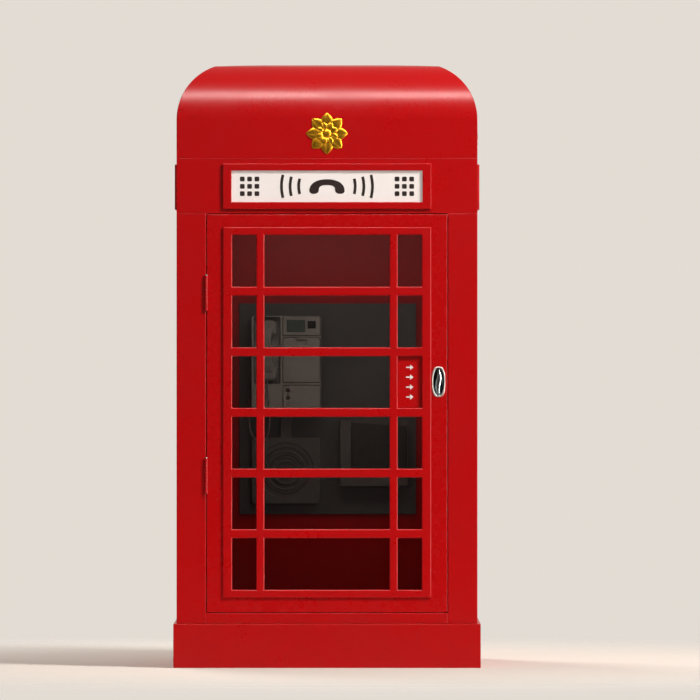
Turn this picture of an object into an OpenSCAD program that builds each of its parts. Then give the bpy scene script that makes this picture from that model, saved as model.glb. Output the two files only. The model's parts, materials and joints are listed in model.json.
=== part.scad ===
// Red cast-iron telephone booth with a wall payphone, in millimetres.
// The door faces -Y. The origin is on the ground, in the middle of the base.

/* [Booth] */
// Width and depth over the plinth
booth_w = 1430; // [1200:10:1700]
// Step of the plinth outside the posts
plinth_step = 15; // [15:1:40]
// Height of the plinth
plinth_h = 205; // [150:5:260]
// Thickness of the plinth wall
plinth_t = 30; // [20:1:60]
// Width of the anchor flange inside the plinth wall
flange_w = 70; // [60:1:100]
// Thickness of the anchor flange
flange_t = 16; // [10:1:25]
// Radius of an anchor hole
anchor_r = 11; // [8:0.5:14]
// Radius of the cable entry through the floor
cable_r = 20; // [12:1:30]
// Width of a square corner post
post_w = 137; // [110:1:170]
// Height of the threshold above the plinth
threshold_h = 50; // [30:1:70]
// Depth of the threshold, front to back
threshold_d = 110; // [80:1:140]
// Wall of a hollow corner post
post_t = 14; // [8:1:20]
// Thickness of a side frame
side_t = 34; // [32:1:60]
// Thickness of the back panel's rim
back_t = 40; // [34:1:60]
// Depth of the panel sunk into the outside of the back
back_relief = 28; // [4:1:30]
// Set-back of the side frames and the back from the post faces
wall_inset = 10; // [8:1:10]

/* [Fascia and roof] */
// Height of the fascia above the door
fascia_h = 256; // [240:1:300]
// Thickness of the fascia wall
fascia_t = 22; // [15:1:60]
// Height of the roof casting
roof_h = 450; // [380:5:520]
// Radius of the roof shoulders
shoulder_r = 270; // [200:5:300]
// Rise of the roof between its shoulders
roof_rise = 30; // [15:1:40]
// Thickness of the roof casting
roof_t = 8; // [6:1:20]
// Outside width of a sign frame
sign_w = 970; // [800:5:1000]
// Outside height of a sign frame
sign_h = 212; // [190:1:230]
// Width of the sign frame's border at the sides
sign_side = 41; // [30:1:60]
// Width of the sign frame's border above and below
sign_edge = 36; // [28:1:45]
// Thickness of the opal sign glass
sign_glass_t = 6; // [4:1:10]
// Height of the middle of the rosette above the fascia
rosette_up = 116; // [105:1:140]
// Radius of the rosette
rosette_r = 100; // [60:1:104]
// Number of petals on the rosette
petals = 8; // [5:1:12]
// Thickness of the ceiling panel
ceiling_t = 4; // [3:1:8]

/* [Door] */
// Height of the door leaf
door_h = 1851; // [1500:1:2100]
// Thickness of the door leaf
door_t = 50; // [46:1:60]
// Gap at each side of the door leaf
side_gap = 3; // [3:0.5:6]
// Gap above and below the door leaf
end_gap = 4; // [3:0.5:6]
// Width of the leaf's stile beside the glazing frame
stile_w = 74.5; // [72:0.5:90]
// Height of the leaf's bottom rail below the glazing frame
rail_bottom = 66.5; // [50:0.5:90]
// Height of the leaf's top rail above the glazing frame
rail_top = 59; // [50:0.5:90]
// Width of the glazing frame at its sides
band_w = 44.5; // [35:0.5:60]
// Width of the glazing frame at its top and bottom
band_h = 37.75; // [35:0.25:50]
// How far the glazing frame stands proud of the leaf
band_proud = 10; // [6:1:10]
// Width of a narrow pane at the side
narrow_w = 112; // [80:1:150]
// Width of an upright glazing bar
bar_w = 38; // [30:1:50]
// Height of a cross glazing bar
bar_h = 42; // [30:1:50]
// Number of rows of panes
pane_rows = 6; // [4:1:8]
// Row of the pull plate, counted from the bottom
pull_row = 3; // [0:1:7]
// Thickness of a pane
glass_t = 6; // [4:1:8]
// Width of the rebate that a pane sits in
rebate = 6; // [5:0.5:8]
// Depth of the leaf behind the glazing frame's inner face
glazing_set = 12; // [8:1:16]
// Width of a door stop
stop_w = 22; // [15:1:30]
// Depth of a door stop, front to back
stop_d = 19; // [12:1:25]

/* [Hinges and handle] */
// Length of a hinge
hinge_len = 164; // [120:1:200]
// Drop of the upper hinge's middle below the door's top
hinge_drop = 367.5; // [120:0.5:500]
// Height of the lower hinge's middle above the door's bottom
hinge_low = 633.5; // [300:0.5:800]
// Radius of a hinge knuckle
knuckle_r = 7; // [5:0.1:7]
// Radius of a hinge pin
pin_r = 3; // [2:0.1:4]
// Thickness of a hinge leaf
leaf_t = 2.7; // [2:0.1:3]
// Depth of a hinge leaf behind the door's face
leaf_d = 35; // [25:1:42]
// Knuckles on each hinge
knuckles = 5; // [3:2:7]
// Distance of the handle's middle from the leaf's edge
handle_in = 41; // [36:1:41]
// Height of the handle's middle above the door's bottom
handle_up = 1072; // [800:1:1300]
// Width of the oval handle
handle_w = 62; // [50:1:66]
// Height of the oval handle
handle_h = 141; // [100:1:160]
// Depth of the handle's cup
cup_d = 24; // [20:1:28]

/* [Backboard fittings] */
// Half width of the backboard
board_half = 422; // [400:1:450]
// Height of the backboard's bottom
board_z0 = 693; // [600:1:730]
// Height of the backboard's top
board_z1 = 1702; // [1660:1:1800]
// Thickness of the backboard
board_t = 18; // [12:1:25]
// Left side of the payphone
phone_x0 = -363; // [-380:1:-350]
// Width of the payphone
phone_w = 332; // [320:1:350]
// Height of the payphone's bottom
phone_z0 = 1190; // [1180:1:1200]
// Height of the payphone
phone_h = 451; // [445:1:460]
// Depth of the payphone
phone_d = 150; // [120:1:180]
// Thickness of the payphone's shell
shell_t = 5; // [3:0.5:6]
// Depth of the handset recess
recess_d = 45; // [40:1:60]
// Thickness of the keypad cover and the service door
lid_t = 4; // [3:0.5:5]
// Width of a key
key_w = 34; // [26:1:38]
// Height of a key
key_h = 28; // [22:1:32]
// Radius of a lock cylinder
lock_r = 8; // [6:0.5:9]
// Radius of the handset cord
cord_r = 4; // [3:0.25:5]
// Depth of the sounder
sounder_d = 40; // [30:1:60]
// Depth of the directory holder
holder_d = 72; // [60:1:100]

/* [Hidden] */

$fn = 64;
fit = 0.3;                 // seated clearance
run = 0.05;                // running clearance on a pin or a shaft
cut = 1;                   // how far a cut runs past a face

// Levels and planes
body_half = booth_w / 2 - plinth_step;
face_y = -body_half;
open_half = body_half - post_w;
leaf_half = open_half - side_gap;
sill_z = plinth_h + threshold_h;
door_z0 = sill_z + end_gap;
door_z1 = door_z0 + door_h;
fascia_z0 = door_z1 + end_gap;
roof_z0 = fascia_z0 + fascia_h;
roof_z1 = roof_z0 + roof_h;
plinth_in = booth_w / 2 - plinth_t;
nut_pocket_r = 33;         // room for an anchor nut and its spanner
nut_pocket_h = 90;
cable_in = 60;             // distance of the cable entry from the walls

// Glazing layout, the same on the door and on the sides
frame_half = leaf_half - stile_w;
frame_z0 = door_z0 + rail_bottom;
frame_z1 = door_z1 - rail_top;
glaze_half = frame_half - band_w;
glaze_z0 = frame_z0 + band_h;
glaze_z1 = frame_z1 - band_h;
pane_h = (glaze_z1 - glaze_z0 - (pane_rows - 1) * bar_h) / pane_rows;
mid_half = glaze_half - narrow_w - bar_w;
columns = [[-glaze_half, -glaze_half + narrow_w], [-mid_half, mid_half],
    [glaze_half - narrow_w, glaze_half]];
lip = 20;                  // overlap of the glazing frame on the leaf

// Door planes, from the front to the back
leaf_back = face_y + door_t;
glass_y = face_y + 18;
frame_back = leaf_back - glazing_set;

// Hinge axis
axis_x = -(leaf_half + side_gap / 2);
axis_y = face_y - knuckle_r - fit;
knuckle_len = hinge_len / knuckles;
hinge_gap = 0.6;           // play between two knuckles
hinge_heights = [door_z0 + hinge_low, door_z1 - hinge_drop];

// Handle
handle_x = leaf_half - handle_in;
handle_z = door_z0 + handle_up;
rim_w = 6;                 // width of the handle's rim
cup_t = 2;                 // wall of the handle's cup

// Backboard and payphone
back_y = body_half - wall_inset - back_t;
board_y = back_y - board_t;
phone_y = board_y - phone_d;
phone_x1 = phone_x0 + phone_w;
phone_z1 = phone_z0 + phone_h;
recess = [phone_x0 + 14, phone_x0 + 135, phone_z0 + 131, phone_z1 - 7];
panel_x0 = phone_x0 + 151;
panel_x1 = phone_x1 - 6;
bezel = [panel_x0, panel_x1, phone_z1 - 92, phone_z1 - 7];
bezel_t = 4;
display = [panel_x0 + 16, panel_x0 + 105, bezel[2] + 14, bezel[3] - 11];
reader = [panel_x1 - 59, panel_x1 - 19, bezel[2] + 32, bezel[3] - 17];
cover = [panel_x0, panel_x1, phone_z0 + 135, phone_z0 + 346];
key_floor = 8;             // depth of the key field
margin = 5;                // overlap of the cover and door on the shell
service = [panel_x0 + 1, panel_x1, phone_z0 + 10, phone_z0 + 119];
service_hole = [service[0] + 11, service[1] - 11, service[2] + 10, service[3] - 10];
lid_y = phone_y - fit - lid_t;
lock_x = service[0] + 23;
lock_heights = [service[3] - 22, service[3] - 58];
key_names = ["key_1", "key_2", "key_3", "key_4", "key_5", "key_6",
    "key_7", "key_8", "key_9", "key_star", "key_0", "key_hash"];
key_pitch_x = 48;
key_pitch_z = 46;
key_x = (cover[0] + cover[1]) / 2;
key_z = (cover[2] + cover[3]) / 2 + 1.5 * key_pitch_z - 3;
key_flange = 2;            // rim behind the panel that keeps a key in

// Handset
handset_x = recess[0] + 61;
ear_z = recess[3] - 50;
mouth_z = recess[2] + 53;
head_half = 46;
head_y = phone_y - 20;
head_back = phone_y + 18;
cap_r = 34;
grip_half = 21;
grip_y = phone_y - 38;
lever_t = 8;
lever_top = ear_z - 40 - fit;
lever_half = 22;
lever_pivot_y = phone_y + 58;

// Cord: out of the gland, round a hanging loop and up to the handset
gland_r = 9;
gland_x = phone_x0 - gland_r - fit;
gland_y = phone_y + 78;
gland_z0 = phone_z0 + 28;
gland_z1 = phone_z0 + 56;
cord_route = [
    [-372.3, 560, 1218], [-372, 560, 1190], [-374, 548, 1150], [-369, 525, 1098],
    [-349, 500, 1058], [-316, 480, 1042], [-290, 466, 1062], [-278, 459, 1110],
    [-276, 457, 1170], [-281, 457, 1240], [-286, 461, 1295], [-288, 474, 1332]
];
cord_steps = 5;            // rings along each stretch of the route
cord_sides = 8;

// Sounder and directory holder, under the payphone
sounder_box = [-363, -37, 744, 1060];
sounder_rings = [133, 95, 67];
ring_w = 7;
ring_depth = 6;
duct = [-224, -173];
duct_d = 40;
holder = [61, 384, 828, 1142];
holder_t = 4;
holder_lip = 50;
holder_bar = 53;
book_d = 40;

module span(a, b) translate(a) cube(b - a);
module facing(y0, y1) translate([0, y1, 0]) rotate([90, 0, 0]) linear_extrude(y1 - y0) children();
module rect(x0, x1, z0, z1) translate([x0, z0]) square([x1 - x0, z1 - z0]);
module area(r, grow = 0) rect(r[0] - grow, r[1] + grow, r[2] - grow, r[3] + grow);
module round_area(r, radius, grow = 0) {
    q = [r[0] - grow, r[1] + grow, r[2] - grow, r[3] + grow];
    rect(q[0] + radius, q[1] - radius, q[2], q[3]);
    rect(q[0], q[1], q[2] + radius, q[3] - radius);
    for (x = [q[0] + radius, q[1] - radius], z = [q[2] + radius, q[3] - radius])
        translate([x, z]) circle(radius);
}
module oval(w, h, sides = 48)
    polygon([for (i = [0:sides - 1]) [w / 2 * cos(i * 360 / sides), h / 2 * sin(i * 360 / sides)]]);
module four_sides() for (a = [0:90:270]) rotate([0, 0, a]) children();

// Every pane of one glazed wall, grown on all sides by a rebate.
module panes(grow = 0, pull = false)
    for (row = [0:pane_rows - 1], c = [0:2])
        if (!(pull && row == pull_row && c == 2)) pane(row, c, grow);
module pane(row, c, grow = 0) {
    z = glaze_z0 + row * (pane_h + bar_h);
    rect(columns[c][0] - grow, columns[c][1] + grow, z - grow, z + pane_h + grow);
}
module frame_outline(inset = 0)
    rect(-frame_half + inset, frame_half - inset, frame_z0 + inset, frame_z1 - inset);

module plinth() color("firebrick") difference() {
    span([-booth_w / 2, -booth_w / 2, 0], [booth_w / 2, booth_w / 2, plinth_h]);
    span([-plinth_in, -plinth_in, flange_t], [plinth_in, plinth_in, plinth_h + cut]);
    span([-plinth_in + flange_w, -plinth_in + flange_w, -cut],
        [plinth_in - flange_w, plinth_in - flange_w, flange_t + cut]);
    for (x = [-1, 1], y = [-1, 1])
        translate([x * (plinth_in - flange_w / 2), y * (plinth_in - flange_w / 2), -cut])
            cylinder(r = anchor_r, h = flange_t + 2 * cut);
}
module floor_slab() color("dimgray") difference() {
    span([-plinth_in + fit, -plinth_in + fit, flange_t], [plinth_in - fit, plinth_in - fit, plinth_h]);
    for (x = [-1, 1], y = [-1, 1])
        translate([x * (plinth_in - flange_w / 2), y * (plinth_in - flange_w / 2), flange_t - cut])
            cylinder(r = nut_pocket_r, h = nut_pocket_h);
    translate([-open_half + cable_in, back_y - cable_in, 0]) cylinder(r = cable_r, h = plinth_h + cut);
}
module threshold() color("firebrick")
    span([-open_half + fit, face_y, plinth_h], [open_half - fit, face_y + threshold_d, sill_z]);
module corner_post(x, y) color("firebrick") difference() {
    mid = (open_half + body_half) / 2;
    translate([x * mid, y * mid, plinth_h]) difference() {
        translate([-post_w / 2, -post_w / 2, 0]) cube([post_w, post_w, fascia_z0 - plinth_h]);
        translate([-post_w / 2 + post_t, -post_w / 2 + post_t, -cut])
            cube([post_w - 2 * post_t, post_w - 2 * post_t, fascia_z0 - plinth_h - post_t + cut]);
    }
    if (x < 0 && y < 0) hinge_plates(axis_x - side_gap / 2, -1, leaf_t + fit, fit);
}
// The rebates, and with no clearance the plates themselves, of both hinges.
module hinge_plates(x, way, t, grow)
    for (z = hinge_heights)
        span([min(x, x + way * t), face_y - grow, z - hinge_len / 2 - grow],
            [max(x, x + way * t), face_y + leaf_d + grow, z + hinge_len / 2 + grow]);

module glazed_side() color("firebrick") difference() {
    union() {
        facing(face_y + wall_inset, face_y + wall_inset + side_t)
            rect(-open_half + fit, open_half - fit, plinth_h, fascia_z0);
        facing(face_y, face_y + wall_inset) frame_outline();
    }
    facing(face_y - cut, face_y + wall_inset + side_t + cut) panes();
    facing(glass_y + wall_inset, face_y + wall_inset + side_t + cut) panes(rebate);
}
module glass_side() color("slategray", 0.4)
    facing(glass_y + wall_inset + fit, glass_y + wall_inset + fit + glass_t) panes(rebate - fit);
module side_frame_left() rotate([0, 0, -90]) glazed_side();
module side_frame_right() rotate([0, 0, 90]) glazed_side();
module side_glass_left() rotate([0, 0, -90]) glass_side();
module side_glass_right() rotate([0, 0, 90]) glass_side();
module back_panel() color("firebrick") rotate([0, 0, 180]) difference() {
    facing(face_y + wall_inset, face_y + wall_inset + back_t)
        rect(-open_half + fit, open_half - fit, plinth_h, fascia_z0);
    facing(face_y + wall_inset - cut, face_y + wall_inset + back_relief) frame_outline();
}
module door_stops() color("maroon") {
    y0 = leaf_back + 0.5;
    for (x = [-1, 1])
        span([min(x * open_half, x * (open_half - stop_w)), y0, sill_z],
            [max(x * open_half, x * (open_half - stop_w)), y0 + stop_d, fascia_z0]);
    span([-open_half + stop_w, y0, fascia_z0 - stop_w], [open_half - stop_w, y0 + stop_d, fascia_z0]);
}

sign_z = fascia_z0 + 20 + sign_h / 2;
sign_open = [-sign_w / 2 + sign_side, sign_w / 2 - sign_side,
    sign_z - sign_h / 2 + sign_edge - 3, sign_z + sign_h / 2 - sign_edge + 3];
sign_seat = sign_glass_t + 2 * fit;
ledge = 5;                 // thickness of the ledge under the ceiling panel
ledge_w = 50;
module fascia() color("firebrick") difference() {
    span([-body_half, -body_half, fascia_z0], [body_half, body_half, roof_z0]);
    span([-body_half + fascia_t, -body_half + fascia_t, fascia_z0 + ledge],
        [body_half - fascia_t, body_half - fascia_t, roof_z0 + cut]);
    span([-body_half + fascia_t + ledge_w, -body_half + fascia_t + ledge_w, fascia_z0 - cut],
        [body_half - fascia_t - ledge_w, body_half - fascia_t - ledge_w, roof_z0 + cut]);
    four_sides() {
        facing(face_y - cut, face_y + fascia_t + cut) area(sign_open);
        facing(face_y - cut, face_y + sign_seat) area(sign_open, 8 + fit);
    }
}
module sign_frames() color("firebrick") four_sides() facing(face_y - 12, face_y) difference() {
    rect(-sign_w / 2, sign_w / 2, sign_z - sign_h / 2, sign_z + sign_h / 2);
    area(sign_open);
}
module sign_glasses() color("gainsboro") four_sides()
    facing(face_y + sign_seat - fit - sign_glass_t, face_y + sign_seat - fit) area(sign_open, 8);

// One upright section of the roof: straight sides, round shoulders and a shallow arch.
module roof_section(t = 0) {
    half = body_half - shoulder_r;
    arch_r = (body_half * body_half + roof_rise * roof_rise) / (2 * roof_rise);
    intersection() {
        union() {
            rect(-body_half + t, body_half - t, roof_z0 - t, roof_z1 - shoulder_r);
            rect(-half, half, roof_z0 - t, roof_z1 - t);
            for (x = [-half, half]) translate([x, roof_z1 - shoulder_r]) circle(shoulder_r - t, $fn = 96);
        }
        translate([0, roof_z1 - arch_r]) circle(arch_r - t, $fn = 720);
        rect(-body_half, body_half, roof_z0 - t, roof_z1);
    }
}
module roof_body(t = 0) intersection() {
    facing(-body_half, body_half) roof_section(t);
    rotate([0, 0, 90]) facing(-body_half, body_half) roof_section(t);
}
module roof() color("firebrick") difference() {
    roof_body();
    roof_body(roof_t);
}
module rosettes() color("goldenrod") four_sides() translate([0, face_y, roof_z0 + rosette_up])
    rotate([90, 0, 0]) {
        cylinder(r = rosette_r * 0.62, h = 4);
        cylinder(r = rosette_r * 0.3, h = 12);
        for (i = [0:petals - 1]) rotate([0, 0, i * 360 / petals])
            translate([rosette_r * 0.7, 0, 0]) cylinder(r = rosette_r * 0.3, h = 8);
    }
module ceiling_panel() color("whitesmoke")
    span([-body_half + fascia_t + fit, -body_half + fascia_t + fit, fascia_z0 + ledge],
        [body_half - fascia_t - fit, body_half - fascia_t - fit, fascia_z0 + ledge + ceiling_t]);
lamp_z = fascia_z0 + ledge + ceiling_t;
lamp_half = 290;
tube_r = 13;
module lamp_fitting() color("silver") {
    span([-lamp_half - 20, -40, lamp_z], [lamp_half + 20, 40, lamp_z + 30]);
    for (x = [-1, 1])
        span([min(x * (lamp_half + fit), x * (lamp_half + 20)), -20, lamp_z + 30],
            [max(x * (lamp_half + fit), x * (lamp_half + 20)), 20, lamp_z + 80]);
}
module lamp_tube() color("white") translate([-lamp_half, 0, lamp_z + 58]) rotate([0, 90, 0])
    cylinder(r = tube_r, h = 2 * lamp_half);

module door_leaf() color("firebrick") difference() {
    facing(face_y, leaf_back) difference() {
        rect(-leaf_half, leaf_half, door_z0, door_z1);
        frame_outline(lip);
    }
    translate([handle_x, 0, handle_z]) facing(face_y - cut, face_y + cup_d + fit)
        oval(handle_w - 2 * rim_w + 2 * cup_t + 2 * fit, handle_h - 2 * rim_w + 2 * cup_t + 2 * fit);
    hinge_plates(axis_x + side_gap / 2, 1, leaf_t + fit, fit);
}
module glazing_frame() color("firebrick") difference() {
    union() {
        facing(face_y - band_proud, face_y) frame_outline();
        facing(face_y, frame_back) frame_outline(lip + fit);
    }
    facing(face_y - band_proud - cut, frame_back + cut) panes();
    facing(glass_y, frame_back + cut) panes(rebate);
}
module door_glass() color("slategray", 0.4)
    facing(glass_y + fit, glass_y + fit + glass_t) panes(rebate - fit, pull = true);
module door_beads() color("firebrick")
    facing(glass_y + glass_t + 2 * fit, frame_back - fit) difference() {
        panes(rebate - fit);
        panes();
    }
module pull_plate() color("firebrick") {
    facing(glass_y + fit, glass_y + fit + glass_t) pane(pull_row, 2, rebate - fit);
    facing(glass_y - 10, glass_y + fit) pane(pull_row, 2, -fit);
}
module handle_cup() color("lightgray") translate([handle_x, 0, handle_z]) difference() {
    union() {
        facing(face_y - 3, face_y) oval(handle_w, handle_h);
        facing(face_y, face_y + cup_d)
            oval(handle_w - 2 * rim_w + 2 * cup_t, handle_h - 2 * rim_w + 2 * cup_t);
    }
    facing(face_y - 3 - cut, face_y + cup_d - cup_t) oval(handle_w - 2 * rim_w, handle_h - 2 * rim_w);
}
// A spindle on an upright axis, thickest in the middle.
module handle_grip() color("lightgray") translate([handle_x, face_y + 5, handle_z]) {
    bulge = 9;
    end_r = 4;
    steps = 12;
    half = (handle_h / 2 - rim_w) * sqrt(1 - pow(end_r / (handle_w / 2 - rim_w), 2)) - fit;
    rotate_extrude() polygon(concat([[0, -half]],
        [for (i = [0:steps]) [end_r + (bulge - end_r) * sin(180 * i / steps), -half + 2 * half * i / steps]],
        [[0, half]]));
}
module knuckle(z, i, r) translate([axis_x, axis_y, z - hinge_len / 2 + i * knuckle_len + hinge_gap / 2])
    cylinder(r = r, h = knuckle_len - hinge_gap);
module hinge_half(x, way, first) difference() {
    union() {
        hinge_plates(x, way, leaf_t, 0);
        for (z = hinge_heights, i = [first:2:knuckles - 1]) {
            knuckle(z, i, knuckle_r);
            zk = z - hinge_len / 2 + i * knuckle_len;
            span([min(x, x + way * leaf_t), axis_y, zk + hinge_gap / 2],
                [max(x, x + way * leaf_t), face_y + cut, zk + knuckle_len - hinge_gap / 2]);
        }
    }
    for (z = hinge_heights) {
        translate([axis_x, axis_y, z - hinge_len / 2 - cut]) cylinder(r = pin_r + run, h = hinge_len + 2 * cut);
        for (i = [1 - first:2:knuckles - 1])
            translate([axis_x - 2 * knuckle_r, axis_y - 2 * knuckle_r,
                z - hinge_len / 2 + i * knuckle_len - hinge_gap / 2])
                cube([4 * knuckle_r, 3 * knuckle_r - fit, knuckle_len + hinge_gap]);
    }
}
module hinge_door_leaves() color("firebrick") hinge_half(axis_x + side_gap / 2, 1, 1);
module hinge_post_leaves() color("firebrick") hinge_half(axis_x - side_gap / 2, -1, 0);
module hinge_pins() color("silver") for (z = hinge_heights) translate([axis_x, axis_y, z - hinge_len / 2]) {
    cylinder(r = pin_r, h = hinge_len + fit);
    translate([0, 0, hinge_len]) cylinder(r = knuckle_r - 1, h = 4);
}

module backboard() color("darkslategray") facing(board_y, back_y) rect(-board_half, board_half, board_z0, board_z1);
module phone_shell() color("silver") difference() {
    union() {
        difference() {
            facing(phone_y, board_y) round_area([phone_x0, phone_x1, phone_z0, phone_z1], 12);
            facing(phone_y + shell_t, board_y + cut) area([phone_x0, phone_x1, phone_z0, phone_z1], -shell_t);
        }
        facing(phone_y + cut, phone_y + recess_d + shell_t) area(recess, shell_t);
        facing(phone_y + cut, phone_y + key_floor + shell_t) area(cover, -margin + shell_t / 2);
        facing(phone_y - bezel_t, phone_y + cut) round_area(bezel, 8);
    }
    facing(phone_y - cut, phone_y + recess_d) round_area(recess, 10);
    facing(phone_y - cut, phone_y + key_floor) area(cover, -margin);
    facing(phone_y - bezel_t - cut, phone_y + shell_t + cut) {
        area(display);
        area(reader);
        area(service_hole);
    }
    for (i = [0:len(key_names) - 1]) key_hole(i);
    facing(phone_y + recess_d - cut, phone_y + recess_d + shell_t + cut)
        rect(handset_x - lever_half - 0.5, handset_x + lever_half + 0.5, lever_top - lever_t - 12, lever_top + 3);
}
module at_key(i) translate([key_x + (i % 3 - 1) * key_pitch_x, 0, key_z - floor(i / 3) * key_pitch_z]) children();
module key_hole(i) at_key(i) facing(phone_y + key_floor - cut, phone_y + key_floor + shell_t + cut)
    rect(-key_w / 2 - fit, key_w / 2 + fit, -key_h / 2 - fit, key_h / 2 + fit);
module key(i) color("dimgray") at_key(i) {
    facing(phone_y + 3, phone_y + key_floor + shell_t + fit)
        rect(-key_w / 2, key_w / 2, -key_h / 2, key_h / 2);
    facing(phone_y + key_floor + shell_t + fit, phone_y + key_floor + shell_t + fit + 2)
        rect(-key_w / 2 - key_flange, key_w / 2 + key_flange, -key_h / 2 - key_flange, key_h / 2 + key_flange);
}
module display_lens() color("darkslategray")
    facing(phone_y - bezel_t + 1, phone_y + shell_t) area(display, -fit);
module card_reader() color("dimgray") difference() {
    facing(phone_y - bezel_t - 2, phone_y + 12) area(reader, -fit);
    facing(phone_y - bezel_t - 2 - cut, phone_y + 8)
        rect(reader[0] + 5, reader[1] - 5, (reader[2] + reader[3]) / 2 - 3, (reader[2] + reader[3]) / 2 + 3);
}
module keypad_cover() color("silver") facing(lid_y, lid_y + lid_t) difference() {
    round_area(cover, 8);
    rect(key_x - 27, key_x + 27, cover[3] - 16, cover[3] - 7);
}
module service_door() color("silver") difference() {
    facing(lid_y, lid_y + lid_t) round_area(service, 3);
    for (z = lock_heights) translate([lock_x, lid_y - cut, z]) rotate([-90, 0, 0])
        cylinder(r = lock_r + run, h = lid_t + 2 * cut);
}
module lock(z) color("gray") translate([lock_x, lid_y, z]) rotate([-90, 0, 0]) difference() {
    union() {
        translate([0, 0, -2]) cylinder(r = lock_r + 1.5, h = 2 - run);
        translate([0, 0, -1]) cylinder(r = lock_r, h = lid_t + 14);
    }
    translate([-1, -4, -2 - cut]) cube([2, 8, 6]);
}
module handset_grip() color("silver") {
    facing(head_y, head_back) {
        round_area([handset_x - head_half, handset_x + head_half, ear_z - 40, ear_z + 38], 18);
        round_area([handset_x - head_half + 1, handset_x + head_half - 1, mouth_z - 42, mouth_z + 42], 18);
    }
    facing(grip_y, phone_y - 4)
        round_area([handset_x - grip_half, handset_x + grip_half, mouth_z - 20, ear_z + 15], 16);
}
module handset_caps() color("black") for (z = [ear_z, mouth_z])
    translate([handset_x, head_back, z]) rotate([-90, 0, 0]) cylinder(r = cap_r, h = 14);
module hook_lever() color("gray") {
    span([handset_x - lever_half, phone_y + 6, lever_top - lever_t],
        [handset_x + lever_half, lever_pivot_y + 5, lever_top]);
}
module cord_gland() color("gray") translate([gland_x, gland_y, gland_z0])
    cylinder(r = gland_r, h = gland_z1 - gland_z0);

// A point on the smooth curve through four neighbours of the route.
function between(a, b, c, d, t) = 0.5 * (2 * b + (c - a) * t
    + (2 * a - 5 * b + 4 * c - d) * t * t + (3 * b - a - 3 * c + d) * t * t * t);
function at(p, i) = p[max(0, min(len(p) - 1, i))];
function smooth(p, n) = concat([for (i = [0:len(p) - 2], k = [0:n - 1])
    between(at(p, i - 1), at(p, i), at(p, i + 1), at(p, i + 2), k / n)], [p[len(p) - 1]]);
function unit(v) = v / norm(v);
function heading(p, i) = i == 0 || i == len(p) - 1 ? [0, 0, p[len(p) - 1][2] > p[0][2] && i > 0 ? 1 : -1]
    : unit(at(p, i + 1) - at(p, i - 1));
module sweep(p, r, sides) {
    rings = [for (i = [0:len(p) - 1]) let (t = heading(p, i), n = unit(cross(t, [0, 1, 0])), b = cross(t, n))
        [for (k = [0:sides - 1]) p[i] + r * (cos(k * 360 / sides) * n + sin(k * 360 / sides) * b)]];
    last = (len(p) - 1) * sides;
    polyhedron(
        points = [for (ring = rings, q = ring) q],
        faces = concat(
            [[for (k = [0:sides - 1]) k]],
            [[for (k = [0:sides - 1]) last + sides - 1 - k]],
            [for (i = [0:len(p) - 2], k = [0:sides - 1]) [i * sides + k, (i + 1) * sides + k,
                (i + 1) * sides + (k + 1) % sides]],
            [for (i = [0:len(p) - 2], k = [0:sides - 1]) [i * sides + k, (i + 1) * sides + (k + 1) % sides,
                i * sides + (k + 1) % sides]]
        )
    );
}
module handset_cord() color("silver") sweep(smooth(cord_route, cord_steps), cord_r, cord_sides);
module cable_duct() color("gray") facing(board_y - duct_d, board_y) rect(duct[0], duct[1], sounder_box[3], phone_z0);
module sounder() color("dimgray") {
    cx = (sounder_box[0] + sounder_box[1]) / 2;
    cz = (sounder_box[2] + sounder_box[3]) / 2;
    y0 = board_y - sounder_d;
    difference() {
        facing(y0, board_y) round_area(sounder_box, 20);
        facing(y0 + ring_depth + 4, board_y + cut) area(sounder_box, -8);
        facing(y0 - cut, y0 + ring_depth) translate([cx, cz]) difference() {
            circle(sounder_rings[0]);
            for (i = [1, 2]) difference() {
                circle(sounder_rings[i]);
                circle(sounder_rings[i] - ring_w);
            }
        }
    }
}
module directory_holder() color("dimgray") {
    y0 = board_y - holder_d;
    facing(board_y - holder_t, board_y) area(holder);
    facing(y0, board_y) {
        rect(holder[0], holder[1], holder[2], holder[2] + holder_t);
        rect(holder[0], holder[0] + holder_t, holder[2], holder[3]);
        rect(holder[1] - holder_t, holder[1], holder[2], holder[3] - 25);
    }
    facing(y0, y0 + holder_t) {
        rect(holder[0], holder[0] + holder_lip, holder[2], holder[3]);
        rect(holder[0], holder[1], holder[2], holder[2] + holder_bar);
    }
}
module directory_book() color("black") facing(board_y - holder_t - fit - book_d, board_y - holder_t - fit)
    polygon([[holder[0] + 8, holder[2] + holder_t + fit], [holder[1] - 8, holder[2] + holder_t + fit],
        [holder[1] - 8, holder[3] - 28], [holder[0] + 8, holder[3] - 7]]);

plinth();
floor_slab();
threshold();
corner_post(-1, -1);  // corner_post_front_left
corner_post(1, -1);  // corner_post_front_right
corner_post(-1, 1);  // corner_post_rear_left
corner_post(1, 1);  // corner_post_rear_right
side_frame_left();
side_frame_right();
side_glass_left();
side_glass_right();
back_panel();
door_stops();
fascia();
sign_frames();
sign_glasses();
roof();
rosettes();
ceiling_panel();
lamp_fitting();
lamp_tube();
door_leaf();
glazing_frame();
door_glass();
door_beads();
pull_plate();
handle_cup();
handle_grip();
hinge_door_leaves();
hinge_post_leaves();
hinge_pins();
backboard();
phone_shell();
display_lens();
card_reader();
keypad_cover();
for (i = [0:len(key_names) - 1]) key(i);
service_door();
lock(lock_heights[0]);  // lock_upper
lock(lock_heights[1]);  // lock_lower
handset_grip();
handset_caps();
hook_lever();
cord_gland();
handset_cord();
cable_duct();
sounder();
directory_holder();
directory_book();
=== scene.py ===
"""A red telephone booth: finishes, glazing, sign symbols, handset and cord on the CAD model."""

import json
import logging
import math
from dataclasses import dataclass, field
from enum import Enum
from typing import Dict, List, Optional, Sequence, Tuple

import bmesh
import bpy
import numpy as np
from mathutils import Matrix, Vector
from mathutils.bvhtree import BVHTree

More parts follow.
